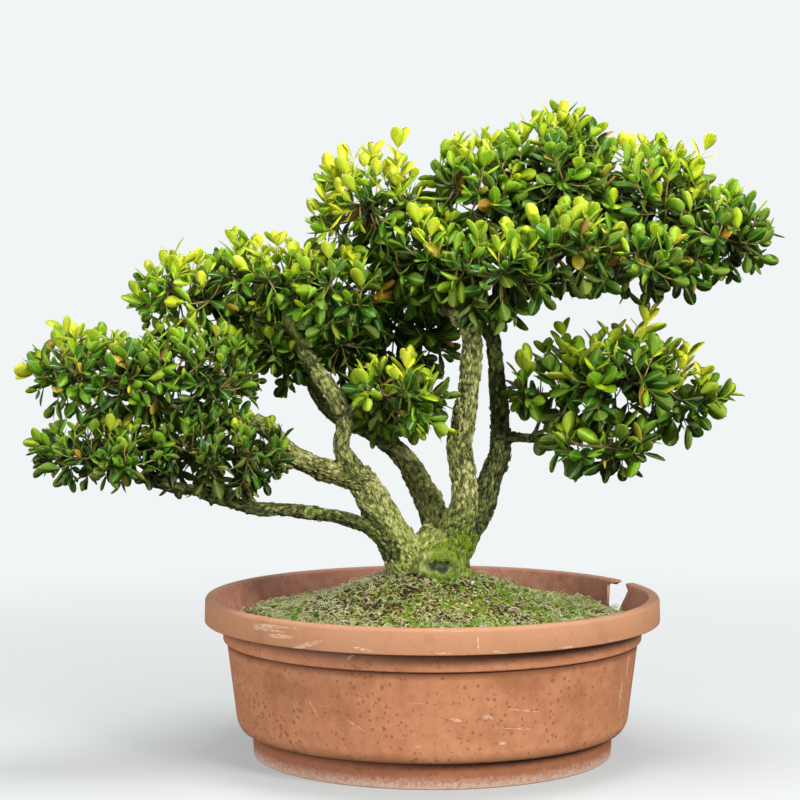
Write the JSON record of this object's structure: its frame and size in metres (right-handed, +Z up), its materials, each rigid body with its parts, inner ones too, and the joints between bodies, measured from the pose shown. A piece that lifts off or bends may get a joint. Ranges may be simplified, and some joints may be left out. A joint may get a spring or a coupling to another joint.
{
  "type": "potted box bonsai",
  "caption": "Potted box tree trained as a many-stemmed bonsai, with leafy pads on bare arching stems, standing in a round plastic training pot with mossy soil.",
  "frame": {"origin": "middle of the pot's flat underside, on the surface that it stands on", "axes": "+Z up, +X towards the right of the front view, where the low branch with its own pad is, -Y towards the front"},
  "size_m": [0.5933, 0.35, 0.5001],
  "materials": {
    "pot": "worn terracotta-coloured moulded plastic, satin where rubbed, dusty at the foot",
    "soil": "dark crumbly potting soil",
    "moss": "dry straw-green moss with fresh green cushions",
    "bark": "rough corky olive-tan bark, mossy at the base",
    "foliage": "glossy leathery leaves, yellow-green at the young tips"
  },
  "bodies": {
    "root": {"pot": "pot", "soil": "soil", "moss": "moss", "trunk": "bark", "leaves_left_tip": "foliage", "leaves_left_low_tip": "foliage", "leaves_left_mid": "foliage", "leaves_left_low_mid": "foliage", "leaves_upper_left_tip": "foliage", "leaves_upper_left": "foliage", "leaves_inner_left": "foliage", "leaves_crown_left": "foliage", "leaves_centre_left": "foliage", "leaves_centre": "foliage", "leaves_centre_low": "foliage", "leaves_centre_high": "foliage", "leaves_top_left": "foliage", "leaves_top": "foliage", "leaves_top_right": "foliage", "leaves_right_tip": "foliage", "leaves_right_under": "foliage", "leaves_front_centre": "foliage", "leaves_front_right": "foliage", "leaves_low_inner": "foliage", "leaves_low_right": "foliage", "leaves_low_right_tip": "foliage", "leaves_low_right_under": "foliage", "leaves_front_spray": "foliage", "leaves_behind_riser": "foliage", "leaves_back_centre": "foliage", "leaves_back_right": "foliage", "leaves_back_left": "foliage"}
  },
  "joints": []
}
